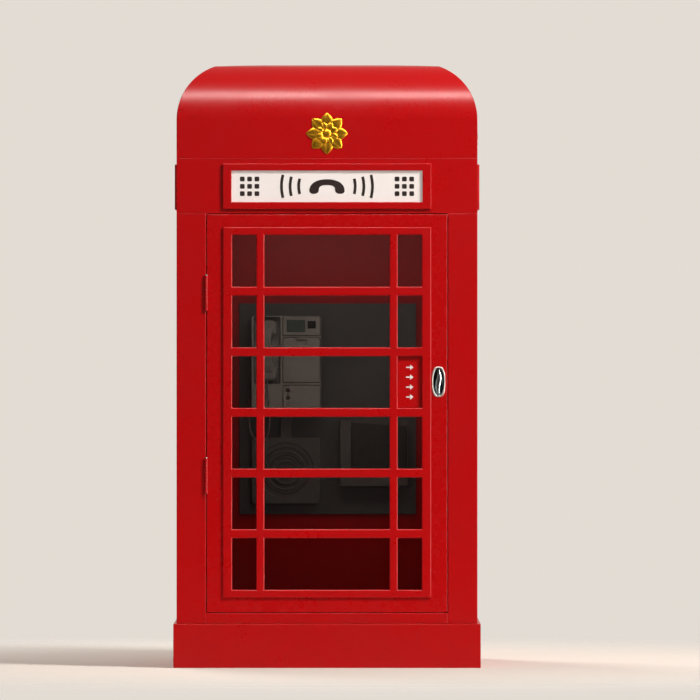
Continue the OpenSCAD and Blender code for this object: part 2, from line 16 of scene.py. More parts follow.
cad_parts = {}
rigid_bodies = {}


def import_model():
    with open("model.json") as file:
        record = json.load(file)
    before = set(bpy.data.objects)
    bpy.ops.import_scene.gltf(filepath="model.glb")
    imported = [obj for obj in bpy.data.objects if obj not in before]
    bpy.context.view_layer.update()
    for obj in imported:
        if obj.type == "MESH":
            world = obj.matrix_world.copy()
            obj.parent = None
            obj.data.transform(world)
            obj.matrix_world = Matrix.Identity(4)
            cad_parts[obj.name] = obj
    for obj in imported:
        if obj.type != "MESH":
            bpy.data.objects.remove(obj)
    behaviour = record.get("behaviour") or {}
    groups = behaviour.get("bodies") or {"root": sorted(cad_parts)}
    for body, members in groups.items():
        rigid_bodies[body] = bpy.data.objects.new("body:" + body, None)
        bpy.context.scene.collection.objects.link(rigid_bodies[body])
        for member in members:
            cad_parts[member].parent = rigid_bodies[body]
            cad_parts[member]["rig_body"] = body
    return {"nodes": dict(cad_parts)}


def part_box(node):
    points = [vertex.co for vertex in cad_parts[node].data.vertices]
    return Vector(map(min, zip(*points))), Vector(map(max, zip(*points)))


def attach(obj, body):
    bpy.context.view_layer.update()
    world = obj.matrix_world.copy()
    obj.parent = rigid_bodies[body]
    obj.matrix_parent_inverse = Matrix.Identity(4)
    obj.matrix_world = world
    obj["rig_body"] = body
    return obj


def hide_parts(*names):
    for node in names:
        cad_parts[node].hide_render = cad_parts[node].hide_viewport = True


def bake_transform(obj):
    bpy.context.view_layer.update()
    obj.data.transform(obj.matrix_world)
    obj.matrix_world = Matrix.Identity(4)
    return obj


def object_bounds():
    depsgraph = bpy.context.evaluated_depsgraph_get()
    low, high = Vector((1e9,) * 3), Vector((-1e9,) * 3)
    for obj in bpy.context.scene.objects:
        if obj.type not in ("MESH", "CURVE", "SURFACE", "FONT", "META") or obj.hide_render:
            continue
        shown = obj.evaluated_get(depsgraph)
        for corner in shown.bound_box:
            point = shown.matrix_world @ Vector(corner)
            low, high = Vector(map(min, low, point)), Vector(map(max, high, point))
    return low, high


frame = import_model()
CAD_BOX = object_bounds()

log = logging.getLogger("booth")
MM = 0.001
Shell = Tuple[np.ndarray, List[List[int]]]
Socket = bpy.types.NodeSocket


# ---------------- materials

def linear(colour: str, alpha: float = 1.0) -> Tuple[float, float, float, float]:
    """Turns an sRGB hex colour into linear light.

    Args:
        colour: six hex digits after a hash sign.
        alpha: opacity that goes into the fourth value.

    Returns:
        Red, green, blue and alpha, each from 0 to 1.
    """
    parts = [int(colour[i:i + 2], 16) / 255 for i in (1, 3, 5)]
    red, green, blue = (c / 12.92 if c <= 0.04045 else ((c + 0.055) / 1.055) ** 2.4 for c in parts)
    return red, green, blue, alpha


def add(tree: bpy.types.NodeTree, kind: str, sockets: Optional[dict] = None,
        **settings: object) -> bpy.types.Node:
    """Adds one node to a material.

    Args:
        tree: the material's node tree.
        kind: the node's type name.
        sockets: input name or number, with the value or the output socket that feeds it.
        settings: attributes of the node itself.

    Returns:
        The new node.
    """
    node = tree.nodes.new(kind)
    for key, value in settings.items():
        setattr(node, key, value)
    for key, value in (sockets or {}).items():
        if isinstance(value, Socket):
            tree.links.new(value, node.inputs[key])
        else:
            node.inputs[key].default_value = value
    return node


class Lay(Enum):
    """How a surface was worked, which sets how its grain is stretched."""

    CAST = (1.0, 1.0, 1.0)
    BRUSHED_ACROSS = (0.03, 1.0, 1.0)


@dataclass(frozen=True)
class Finish:
    """One material: a base colour that wanders a little, with its own roughness, grain and bump.

    The colour is mixed between two hex values by noise, the roughness runs between two limits on
    the same noise, and a finer noise lifts the surface by a height in millimetres.
    """

    name: str
    colour: str
    second: str
    rough: Tuple[float, float]
    patch_mm: float = 120.0
    grain_mm: float = 6.0
    height_mm: float = 0.05
    metallic: float = 0.0
    specular: float = 0.5
    coat: float = 0.0
    alpha: float = 1.0
    glow: float = 0.0
    # Darkening towards the foot: its share at the ground, and the height in metres where it ends.
    grime: float = 0.0
    grime_top: float = 0.35
    lay: Lay = Lay.CAST

    def build(self) -> bpy.types.Material:
        """Makes the material.

        Returns:
            The material, with its nodes linked.
        """
        material = bpy.data.materials.new(self.name)
        material.use_nodes = True
        tree = material.node_tree
        tree.nodes.clear()
        place = add(tree, "ShaderNodeTexCoord").outputs["Object"]
        patch = add(tree, "ShaderNodeTexNoise", {"Vector": place, "Scale": 1 / (self.patch_mm * MM),
                                                 "Detail": 3.0, "Roughness": 0.55}).outputs["Fac"]
        stretched = add(tree, "ShaderNodeMapping", {"Vector": place, "Scale": self.lay.value}).outputs[0]
        grain = add(tree, "ShaderNodeTexNoise", {"Vector": stretched, "Scale": 1 / (self.grain_mm * MM),
                                                 "Detail": 4.0, "Roughness": 0.6}).outputs["Fac"]
        tone = add(tree, "ShaderNodeMix", {0: patch, 6: linear(self.colour), 7: linear(self.second)},
                   data_type="RGBA").outputs[2]
        if self.grime:
            tone = self.soil(tree, place, grain, tone)
        both = add(tree, "ShaderNodeMath", {0: patch, 1: grain}, operation="MULTIPLY").outputs[0]
        rough = add(tree, "ShaderNodeMapRange", {"Value": both, "From Min": 0.1, "From Max": 0.45,
                                                 "To Min": self.rough[0], "To Max": self.rough[1]}).outputs[0]
        bump = add(tree, "ShaderNodeBump", {"Height": grain, "Distance": self.height_mm * MM,
                                            "Strength": 1.0}).outputs["Normal"]
        shader = add(tree, "ShaderNodeBsdfPrincipled", {
            "Base Color": tone, "Roughness": rough, "Metallic": self.metallic, "Normal": bump,
            "Specular IOR Level": self.specular, "Coat Weight": self.coat, "Coat Roughness": 0.06,
            "Alpha": self.alpha})
        if self.glow:
            shader.inputs["Emission Color"].default_value = linear(self.colour)
            shader.inputs["Emission Strength"].default_value = self.glow
        add(tree, "ShaderNodeOutputMaterial", {"Surface": shader.outputs[0]})
        return material

    def soil(self, tree: bpy.types.NodeTree, place: Socket, grain: Socket, tone: Socket) -> Socket:
        """Darkens the colour towards the foot of the booth, most at the ground.

        Args:
            tree: the material's node tree.
            place: position on the booth, in metres.
            grain: the fine noise, which breaks up the edge of the darkening.
            tone: the colour before darkening.

        Returns:
            The colour, darker towards the foot.
        """
        height = add(tree, "ShaderNodeSeparateXYZ", {"Vector": place}).outputs["Z"]
        low = add(tree, "ShaderNodeMapRange", {"Value": height, "From Min": 0.0, "From Max": self.grime_top,
                                               "To Min": self.grime, "To Max": 0.0}).outputs[0]
        share = add(tree, "ShaderNodeMath", {0: low, 1: grain}, operation="MULTIPLY").outputs[0]
        return add(tree, "ShaderNodeMix", {0: share, 6: tone, 7: linear("#2A1A14")},
                   data_type="RGBA").outputs[2]


# Alkyd gloss enamel over cast iron: a deep even red with a soft sheen and a faint ripple from the sand
# mould, drawn at 18 mm because the real 2 mm grain is too fine to show.
ENAMEL = Finish("gloss_red_enamel", "#BE0004", "#B40004", (0.26, 0.36), 260, 18, 0.05, specular=0.22,
                grime=0.15)
# The same enamel on the door's hardwood, where it lies smoother.
DOOR_ENAMEL = Finish("gloss_red_enamel_on_wood", "#BE0004", "#B60004", (0.24, 0.32), 300, 30, 0.03,
                     specular=0.22, grime=0.1)
# Enamel inside the cabin, duller from handling and never rained on; its red is painted darker than the
# outside enamel, as painted shade for the cabin's inside.
SHADED_INNER_ENAMEL = Finish("dull_red_enamel_painted_shade", "#9C0006", "#8A0006", (0.38, 0.5), 260, 18, 0.05, specular=0.3)
# Smoked safety glass: a thin dark film that shows the cabin dimly under clear reflections.
SMOKED_GLASS = Finish("smoked_safety_glass", "#050404", "#080707", (0.02, 0.04), 500, 260, 0.25,
                      specular=1.0, coat=1.0, alpha=0.52)
# Opal acrylic sign glazing: milky, a little warm, lit faintly from behind.
OPAL = Finish("opal_acrylic", "#DDD5D1", "#E6DFDB", (0.2, 0.3), 300, 30, 0.02, glow=0.32)
# Sign enamel for the symbols: near-black brown, stove enamelled.
SYMBOL_ENAMEL = Finish("brown_sign_enamel", "#24120E", "#2B1712", (0.35, 0.45), 60, 4, 0.02)
# Gold leaf on a casting: warm metal with fine wrinkles that break the highlights.
GOLD_LEAF = Finish("gold_leaf", "#D9A02C", "#B57A18", (0.25, 0.5), 22, 4, 0.25, metallic=1.0)
# Chromium plate on the grip: bright metal whose reflections are a little hazed by handling.
CHROME = Finish("chromium_plate", "#A9ABAE", "#9DA0A3", (0.16, 0.28), 30, 8, 0.01, metallic=1.0)
# The same plate inside the cup, its colour darkened and tinted cool: painted shade and a painted reflection.
SHADED_CUP_CHROME = Finish("chromium_plate_cup_painted_shade_and_reflection", "#6C7B7C", "#617071", (0.14, 0.26), 30, 8, 0.01, metallic=1.0)
# Satin nickel plate on the handle's bezel: pale, with soft highlights.
NICKEL = Finish("satin_nickel_plate", "#C6BFB9", "#B8B1AB", (0.32, 0.44), 30, 8, 0.01, metallic=0.75)
# Turned and brushed steel: grey metal with fine lines.
STEEL = Finish("brushed_steel", "#A3A3A2", "#8E8E8D", (0.28, 0.42), 30, 1.5, 0.02, metallic=1.0,
               lay=Lay.BRUSHED_ACROSS)
# Interlocked steel hose: duller from handling, with grease in its seams.
HOSE_STEEL = Finish("armoured_hose_steel", "#CFCDC9", "#A19E99", (0.3, 0.5), 12, 1.0, 0.02, metallic=0.9)
# Stoved paint on the backboard and, browner, on the fittings: flat, with a slight texture.
GREY_STOVE = Finish("stoved_grey_paint", "#5A5652", "#4E4B48", (0.45, 0.6), 200, 5, 0.06)
DARK_STOVE = Finish("stoved_brown_paint", "#6A625B", "#5C5550", (0.4, 0.55), 120, 5, 0.06)
# Epoxy powder coat on the payphone: warm grey with a fine leathery texture.
POWDER = Finish("powder_coat_warm_grey", "#A0988D", "#948C82", (0.36, 0.5), 90, 2.5, 0.05)
# Moulded ABS: slightly soft highlights over a fine spark-eroded grain.
GREY_ABS = Finish("moulded_grey_abs", "#938C83", "#878078", (0.34, 0.46), 60, 2.0, 0.03)
BLACK_ABS = Finish("moulded_black_abs", "#141312", "#1C1A19", (0.3, 0.42), 60, 2.0, 0.03)
# Liquid-crystal window: a grey-green panel under a clear gloss face.
DISPLAY = Finish("lcd_window", "#4D564F", "#566058", (0.06, 0.12), 60, 20, 0.0, coat=1.0)
# White stove enamel for the arrows on the pull plate.
WHITE_ENAMEL = Finish("white_sign_enamel", "#EFEBE6", "#E6E1DB", (0.3, 0.4), 60, 4, 0.02)
# Trowelled concrete: a matt grey with sand in it.
CONCRETE = Finish("trowelled_concrete", "#7D7872", "#655F59", (0.75, 0.95), 60, 3, 0.4)
# Opal ceiling sheet over the lamp; its faint glow is painted light for the lamp shining through it.
CEILING = Finish("opal_ceiling_sheet", "#DAD4C8", "#D2CCBF", (0.35, 0.5), 200, 12, 0.02, glow=0.25)
# Glass tube with a phosphor coat: even white light.
LAMP = Finish("fluorescent_tube", "#FFF6E4", "#FFF3DC", (0.2, 0.3), 80, 10, 0.0, glow=3.0)
# Zinc-plated sheet: dull metal with a small spangle.
ZINC = Finish("zinc_plated_sheet", "#9B9C9E", "#8A8B8E", (0.35, 0.5), 25, 4, 0.02, metallic=1.0)
# Buckram over board: dark, matt and coarsely woven.
BOOK_CLOTH = Finish("buckram_book_cloth", "#453E39", "#3A3430", (0.6, 0.8), 40, 1.6, 0.12)
# The edges of many thin sheets: matt and finely lined.
PAPER = Finish("book_pages", "#CFC6B4", "#B9AF9C", (0.8, 0.95), 12, 0.9, 0.1)


class Palette:
    """Builds each finish once and hands out its material."""

    def __init__(self) -> None:
        """Starts with nothing built."""
        self.made: Dict[str, bpy.types.Material] = {}

    def of(self, finish: Finish) -> bpy.types.Material:
        """Returns the material of a finish, built on its first use."""
        if finish.name not in self.made:
            self.made[finish.name] = finish.build()
        return self.made[finish.name]


PALETTE = Palette()


# ---------------- meshes

def body_of(node: str) -> str:
    """Returns the body that a CAD node belongs to."""
    return frame["nodes"][node]["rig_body"]


def dress(obj: bpy.types.Object, finish: Finish) -> bpy.types.Object:
    """Gives a piece or a CAD node one finish on all its faces."""
    if obj.data.materials:
        obj.data.materials[0] = PALETTE.of(finish)
    else:
        obj.data.materials.append(PALETTE.of(finish))
    return obj


def place_piece(obj: bpy.types.Object, body: str, finish: Finish) -> bpy.types.Object:
    """Links a new piece, dresses it and lets it ride on its body.

    Args:
        obj: the new piece, with its place in its mesh.
        body: the body that carries it.
        finish: what it is made of.

    Returns:
        The same piece.
    """
    if obj.name not in bpy.context.scene.collection.objects:
        bpy.context.scene.collection.objects.link(obj)
    dress(obj, finish)
    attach(obj, body)
    log.info("%s: %d faces, on %s, %s", obj.name, len(obj.data.polygons), body, finish.name)
    return obj


def mesh_from(name: str, shells: Sequence[Shell], smooth: bool = True) -> bpy.types.Object:
    """Joins closed shells into one mesh object.

    Args:
        name: the piece's name.
        shells: points and faces of each shell.
        smooth: whether faces are shaded smooth.

    Returns:
        The object, not yet linked.
    """
    points, faces, start = [], [], 0
    for verts, polys in shells:
        points.append(verts.reshape(-1, 3))
        faces += [[start + i for i in poly] for poly in polys]
        start += len(points[-1])
    mesh = bpy.data.meshes.new(name)
    mesh.from_pydata(np.concatenate(points).tolist(), [], faces)
    work = bmesh.new()
    work.from_mesh(mesh)
    bmesh.ops.remove_doubles(work, verts=work.verts, dist=1e-6)
    bmesh.ops.recalc_face_normals(work, faces=work.faces)
    work.to_mesh(mesh)
    work.free()
    mesh.polygons.foreach_set("use_smooth", np.full(len(mesh.polygons), smooth))
    return bpy.data.objects.new(name, mesh)


def loft(rings: np.ndarray, closed: bool = False) -> Shell:
    """Skins a stack of rings into a closed shell.

    Args:
        rings: an array of rings by points by 3; every ring is closed on itself.
        closed: True joins the last ring to the first, otherwise both ends get a cap.

    Returns:
        Points and faces. Ring i is joined to ring i + 1 by one quad for each of its points.
    """
    count, sides = rings.shape[:2]
    rows = np.arange(count if closed else count - 1)[:, None]
    cols = np.arange(sides)[None, :]
    up, across = (rows + 1) % count, (cols + 1) % sides
    quads = np.stack(np.broadcast_arrays(rows * sides + cols, rows * sides + across,
                                         up * sides + across, up * sides + cols), -1)
    faces = quads.reshape(-1, 4).tolist()
    if not closed:
        faces += [list(range(sides - 1, -1, -1)), list(range((count - 1) * sides, count * sides))]
    return rings.reshape(-1, 3), faces


def upright(outline: np.ndarray, y: float) -> np.ndarray:
    """Stands an outline of X and Z up at one depth y, which gives points by 3."""
    return np.column_stack([outline[:, 0], np.full(len(outline), y), outline[:, 1]])


def quarter_turns(shells: Sequence[Shell]) -> List[Shell]:
    """Copies what stands on the front face to all four faces by quarter turns round the Z axis.

    Args:
        shells: points and faces of each shell on the front.

    Returns:
        The shells of all four faces.
    """
    copies = []
    for quarter in range(4):
        c, s = math.cos(quarter * math.pi / 2), math.sin(quarter * math.pi / 2)
        turn = np.array([[c, -s, 0.0], [s, c, 0.0], [0.0, 0.0, 1.0]])
        copies += [(points @ turn.T, faces) for points, faces in shells]
    return copies


def prism(outline: np.ndarray, y0: float, y1: float, round_off: float = 0.0) -> Shell:
    """Extrudes an outline in X and Z along Y, with a small step in at its front.

    Args:
        outline: points by 2, X and Z, anticlockwise from the front.
        y0: the front.
        y1: the back.
        round_off: how far the front edge is drawn in towards the outline's middle.

    Returns:
        A closed shell of three rings: back, the front's shoulder, and the drawn-in front.
    """
    middle = outline.mean(0)
    reach = np.linalg.norm(outline - middle, axis=1, keepdims=True).max()
    drawn = middle + (outline - middle) * (1 - round_off / reach)
    rings = [(outline, y1), (outline, y0 + round_off), (drawn, y0)]
    return loft(np.array([upright(o, y) for o, y in rings]))


def superellipse(sides: int, power: float) -> np.ndarray:
    """Unit superellipse: cos and sin of an even turn, each raised to 2 / power with its sign kept.

    Args:
        sides: how many points it has.
        power: 2 for a circle, more for a squarer outline.

    Returns:
        The points, X and Z.
    """
    turn = np.linspace(0, 2 * np.pi, sides, endpoint=False)
    wave = np.column_stack([np.cos(turn), np.sin(turn)])
    return np.sign(wave) * np.abs(wave) ** (2 / power)


def squared(source: bpy.types.Mesh) -> Shell:
    """Rebuilds a pierced frame, whose faces all lie along the axes, from faces without holes.

    The mesh's own corner levels divide its box into cells. A cell is solid if its middle lies behind
    the nearest face, and a quad is laid wherever a solid cell meets an empty one.

    Args:
        source: the frame's mesh.

    Returns:
        Points and faces.
    """
    points = np.empty(len(source.vertices) * 3)
    source.vertices.foreach_get("co", points)
    points = points.reshape(-1, 3)
    tree = BVHTree.FromPolygons(points.tolist(), [p.vertices[:] for p in source.polygons])
    levels = [np.unique(points[:, k].round(5)) for k in range(3)]
    middles = np.stack(np.meshgrid(*[(u[1:] + u[:-1]) / 2 for u in levels], indexing="ij"), -1)
    nearest = [tree.find_nearest(Vector(m)) for m in middles.reshape(-1, 3)]
    behind = [(Vector(m) - at).dot(out) < 0 for m, (at, out, _, _) in zip(middles.reshape(-1, 3), nearest)]
    solid = np.pad(np.array(behind).reshape(middles.shape[:3]), 1)
    shape = [len(u) for u in levels]
    faces = []
    for k in range(3):
        edge = np.argwhere(np.diff(solid.astype(int), axis=k) != 0) - [int(a != k) for a in range(3)]
        one, two = (np.eye(3, dtype=int)[a] for a in range(3) if a != k)
        ring = [edge, edge + one, edge + one + two, edge + two]
        faces.append(np.stack([np.ravel_multi_index(corner.T, shape) for corner in ring], -1))
    corners = np.stack(np.meshgrid(*levels, indexing="ij"), -1).reshape(-1, 3)
    used, faces = np.unique(np.concatenate(faces), return_inverse=True)
    return corners[used], faces.reshape(-1, 4).tolist()


def through(points: Sequence[Sequence[float]], per_stretch: int, closed: bool = False) -> np.ndarray:
    """Draws a smooth curve through points: each stretch is the cubic that passes through its two
    points with slopes of half the span between their neighbours.

    Args:
        points: the points, in two or three dimensions.
        per_stretch: how many steps each stretch takes.
        closed: True runs on from the last point to the first.

    Returns:
        The points of the curve.
    """
    p = np.array(points)
    p = np.vstack([p[-1:], p, p[:2]]) if closed else np.vstack([p[:1], p, p[-1:]])
    t = np.linspace(0, 1, per_stretch, endpoint=False)[None, :, None]
    a, b, c, d = (p[i:len(p) - 3 + i, None, :] for i in range(4))
    curve = 0.5 * (2 * b + (c - a) * t + (2 * a - 5 * b + 4 * c - d) * t ** 2
                   + (3 * b - a - 3 * c + d) * t ** 3)
    curve = curve.reshape(-1, p.shape[1])
    return curve if closed else np.vstack([curve, p[-1:]])


def eased(node: str, finish: Finish, edge_mm: float, front_mm: Optional[float] = None,
          front_y: float = -9.0, steps: int = 3, pierced: bool = False) -> bpy.types.Object:
    """Stands a copy of a CAD node, with eased edges, in for the node itself.

    The copy's loose triangles are merged and its flat faces joined. Each sharp edge then takes a
    round of edge_mm, or of front_mm where it lies in front of the plane front_y.

    Args:
        node: the CAD node.
        finish: what it is made of.
        edge_mm: radius of its edges.
        front_mm: radius of the edges at its front, where that differs.
        front_y: the plane that the front edges lie in front of.
        steps: facets across each round.
        pierced: True for a frame of panes, whose faces are cut into rectangles first.

    Returns:
        The new piece.
    """
    source = frame["nodes"][node]
    work = bmesh.new()
    if pierced:
        work.from_mesh(mesh_from(node + "_cells", [squared(source.data)]).data)
    else:
        work.from_mesh(source.data)
        bmesh.ops.remove_doubles(work, verts=work.verts, dist=2e-5)
        bmesh.ops.dissolve_limit(work, angle_limit=math.radians(0.4), verts=work.verts, edges=work.edges)
        bmesh.ops.triangulate(work, faces=[f for f in work.faces if len(f.verts) > 12])
    widest = max(edge_mm, front_mm or 0.0)
    weight = work.edges.layers.float.new("bevel_weight_edge")
    for edge in work.edges:
        sharp = len(edge.link_faces) == 2 and edge.calc_face_angle(0.0) > math.radians(28)
        ahead = front_mm is not None and max(v.co.y for v in edge.verts) < front_y
        edge[weight] = (front_mm if ahead else edge_mm) / widest if sharp else 0.0
    mesh = bpy.data.meshes.new(node + "_eased")
    work.to_mesh(mesh)
    work.free()
    mesh.polygons.foreach_set("use_smooth", np.full(len(mesh.polygons), True))
    piece = bpy.data.objects.new(node + "_eased", mesh)
    round_off = piece.modifiers.new("eased_edges", "BEVEL")
    round_off.width = widest * MM
    round_off.segments = steps
    round_off.limit_method = "WEIGHT"
    round_off.use_clamp_overlap = False
    round_off.loop_slide = False
    round_off.harden_normals = False
    even = piece.modifiers.new("flat_faces_stay_flat", "WEIGHTED_NORMAL")
    even.keep_sharp = True
    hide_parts(node)
    return place_piece(piece, body_of(node), finish)


# ---------------- studio

@dataclass
class Studio:
    """A pale floor, one steep soft key from the upper right and a long lens square to the door."""

    view_width: float = 3.255
    aim: Tuple[float, float] = (0.107, 1.4787)
    lens: float = 500.0
    sensor: float = 36.0
    backdrop: str = "#E3DCD4"
    even_light: float = 0.27
    key_power: float = 1790.0
    cabin_power: float = 11.5
    veil: float = 0.17
    edge_power: float = 1250.0
    back_power: float = 700.0
    softbox_tint: Tuple[float, float, float] = (1.0, 0.97, 0.94)
    floor_reach: Tuple[float, float] = (1.6, 4.5)

    def build(self) -> None:
        """Makes the camera, the world, the floor and the lights."""
        self.camera()
        self.world()
        self.floor()
        self.reflected_sky()
        front = CAD_BOX[0].y
        self.area("key", (7.4, front - 5.6, 9.0), (0.0, front, 1.4), (3.0, 3.0), self.key_power)
        self.area("edge_right", (9.0, front - 5.8, 1.4), (0.0, front, 1.4), (1.2, 6.0), self.edge_power,
                  diffuse=False)
        self.area("edge_top", (0.0, front - 5.8, 10.2), (0.0, front, 1.2), (6.0, 1.2), self.edge_power,
                  diffuse=False)
        self.area("back_light", (-4.0, 7.5, 6.5), (0.0, 0.7, 1.4), (4.0, 4.0), self.back_power,
                  glossy=False)
        under_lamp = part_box("lamp_tube")[0].z - 0.09
        self.area("cabin_lamp", (0.0, -0.36, under_lamp), (0.0, 0.66, 1.15), (0.8, 0.45), self.cabin_power,
                  glossy=False)
        self.area("cabin_fill", (0.1, -0.5, 0.9), (0.1, 0.66, 0.85), (0.8, 0.5), self.cabin_power / 4,
                  glossy=False)

    def camera(self) -> None:
        """Sets the camera so far back that view_width fills the frame at the door's plane."""
        data = bpy.data.cameras.new("camera")
        data.lens, data.sensor_width = self.lens, self.sensor
        camera = bpy.data.objects.new("camera", data)
        away = self.view_width * self.lens / self.sensor
        camera.location = (self.aim[0], CAD_BOX[0].y - away, self.aim[1])
        camera.rotation_euler = (math.pi / 2, 0.0, 0.0)
        data.clip_start, data.clip_end = 1.0, 3 * away
        bpy.context.scene.collection.objects.link(camera)
        bpy.context.scene.camera = camera

    def world(self) -> None:
        """Fills the view with the backdrop's colour and lights evenly and weakly. In reflections it is
        pale all round but dark behind the camera, as a black flag would make it."""
        world = bpy.data.worlds.new("studio")
        world.use_nodes = True
        tree = world.node_tree
        tree.nodes.clear()
        pale = linear(self.backdrop)
        paths = add(tree, "ShaderNodeLightPath")
        seen = add(tree, "ShaderNodeBackground", {"Color": pale, "Strength": 1.0}).outputs[0]
        light = add(tree, "ShaderNodeBackground", {"Color": pale, "Strength": self.even_light}).outputs[0]
        outward = add(tree, "ShaderNodeTexCoord").outputs["Generated"]
        way = add(tree, "ShaderNodeSeparateXYZ", {"Vector": outward}).outputs["Y"]
        aside = add(tree, "ShaderNodeMapRange", {"Value": way, "From Min": -0.93, "From Max": -0.45},
                    interpolation_type="SMOOTHSTEP").outputs[0]
        flag = add(tree, "ShaderNodeBackground", {"Color": linear("#6F9090"), "Strength": 0.16}).outputs[0]
        around = add(tree, "ShaderNodeBackground", {"Color": pale, "Strength": 0.75}).outputs[0]
        gloss = add(tree, "ShaderNodeMixShader", {0: aside, 1: flag, 2: around}).outputs[0]
        for ray, look in (("Is Glossy Ray", gloss), ("Is Camera Ray", seen)):
            light = add(tree, "ShaderNodeMixShader", {0: paths.outputs[ray], 1: light, 2: look}).outputs[0]
        add(tree, "ShaderNodeOutputWorld", {"Surface": light})
        bpy.context.scene.world = world
        bpy.context.scene.view_settings.view_transform = "Standard"

    def floor(self) -> None:
        """Lays a matt pale floor under the base, which fades into the backdrop around it."""
        near, far = self.floor_reach
        floor = self.sheet("floor", [(-far, -far, 0.0), (far, -far, 0.0), (far, far, 0.0),
                                     (-far, far, 0.0)], CAD_BOX[0].z)
        tree = floor.data.materials[0].node_tree
        place = add(tree, "ShaderNodeTexCoord").outputs["Object"]
        reach = add(tree, "ShaderNodeVectorMath", {0: place}, operation="LENGTH").outputs["Value"]
        solid = add(tree, "ShaderNodeMapRange", {"Value": reach, "From Min": near, "From Max": far,
                                                 "To Min": 1.0, "To Max": 0.0},
                    interpolation_type="SMOOTHSTEP").outputs[0]
        shader = add(tree, "ShaderNodeBsdfPrincipled", {
            "Base Color": linear("#E0D8CF"), "Roughness": 0.9, "Specular IOR Level": 0.1, "Alpha": solid})
        add(tree, "ShaderNodeOutputMaterial", {"Surface": shader.outputs[0]})

    def reflected_sky(self) -> None:
        """Hangs a card that only reflections see: dark below, bright above, with slanting bands."""
        front, half = CAD_BOX[0].y - 14.0, 6.0
        card = self.sheet("reflected_sky", [(-half, front, -half), (half, front, -half),
                                            (half, front, half), (-half, front, half)], 1.4)
        card.visible_camera = card.visible_diffuse = card.visible_shadow = False
        tree = card.data.materials[0].node_tree
        place = add(tree, "ShaderNodeSeparateXYZ",
                    {"Vector": add(tree, "ShaderNodeTexCoord").outputs["Object"]})
        height = add(tree, "ShaderNodeMapRange", {
            "Value": place.outputs["Z"], "From Min": 0.5, "From Max": 2.2, "To Min": 0.04, "To Max": 1.0},
            interpolation_type="SMOOTHSTEP").outputs[0]
        slant = add(tree, "ShaderNodeMath", {0: place.outputs["X"], 1: -0.4, 2: place.outputs["Z"]},
                    operation="MULTIPLY_ADD").outputs[0]
        stripe = add(tree, "ShaderNodeMath", {0: slant, 1: 2.4}, operation="MULTIPLY").outputs[0]
        band = add(tree, "ShaderNodeMapRange", {
            "Value": add(tree, "ShaderNodeMath", {0: stripe}, operation="SINE").outputs[0],
            "From Min": -0.08, "From Max": 0.08, "To Min": 0.7, "To Max": 1.0}).outputs[0]
        level = add(tree, "ShaderNodeMath", {0: height, 1: band}, operation="MULTIPLY").outputs[0]
        glow = add(tree, "ShaderNodeMath", {0: level, 1: self.veil}, operation="MULTIPLY").outputs[0]
        shader = add(tree, "ShaderNodeEmission", {"Color": linear("#FFF4EA"), "Strength": glow})
        add(tree, "ShaderNodeOutputMaterial", {"Surface": shader.outputs[0]})

    def sheet(self, name: str, corners: Sequence[Sequence[float]], lift: float) -> bpy.types.Object:
        """Makes a flat stage piece with an empty material.

        Args:
            name: the piece's name.
            corners: its four corners.
            lift: how far it is raised.

        Returns:
            The sheet, linked to the scene.
        """
        mesh = bpy.data.meshes.new(name)
        mesh.from_pydata([(x, y, z + lift) for x, y, z in corners], [], [(0, 1, 2, 3)])
        sheet = bpy.data.objects.new(name, mesh)
        bpy.context.scene.collection.objects.link(sheet)
        material = bpy.data.materials.new(name)
        material.use_nodes = True
        material.node_tree.nodes.clear()
        mesh.materials.append(material)
        return sheet

    def area(self, name: str, at: Sequence[float], aim: Sequence[float], size: Tuple[float, float],
             power: float, glossy: bool = True, diffuse: bool = True) -> None:
        """Hangs one softbox, which the camera doesn't see.

        Args:
            name: the light's name.
            at: where it hangs.
            aim: the point that it faces.
            size: its width and height in metres.
            power: its power in watts.
            glossy: whether it shows in reflections.
            diffuse: whether it lights matt surfaces.
        """
        data = bpy.data.lights.new(name, "AREA")
        data.shape, data.size, data.size_y = "RECTANGLE", *size
        data.energy, data.color = power, self.softbox_tint
        light = bpy.data.objects.new(name, data)
        light.location = at
        light.rotation_euler = (Vector(aim) - Vector(at)).to_track_quat("-Z", "Y").to_euler()
        light.visible_camera, light.visible_glossy, light.visible_diffuse = False, glossy, diffuse
        bpy.context.scene.collection.objects.link(light)


# ---------------- cord

# The route of the handset cord, in metres: out of the gland, round the loop, up to the handset.
CORD_ROUTE = [
    (-0.3723, 0.560, 1.218), (-0.372, 0.560, 1.190), (-0.374, 0.548, 1.150), (-0.369, 0.525, 1.098),
    (-0.349, 0.500, 1.058), (-0.316, 0.480, 1.042), (-0.290, 0.466, 1.062), (-0.278, 0.459, 1.110),
    (-0.276, 0.457, 1.170), (-0.281, 0.457, 1.240), (-0.286, 0.461, 1.295), (-0.288, 0.474, 1.332)]


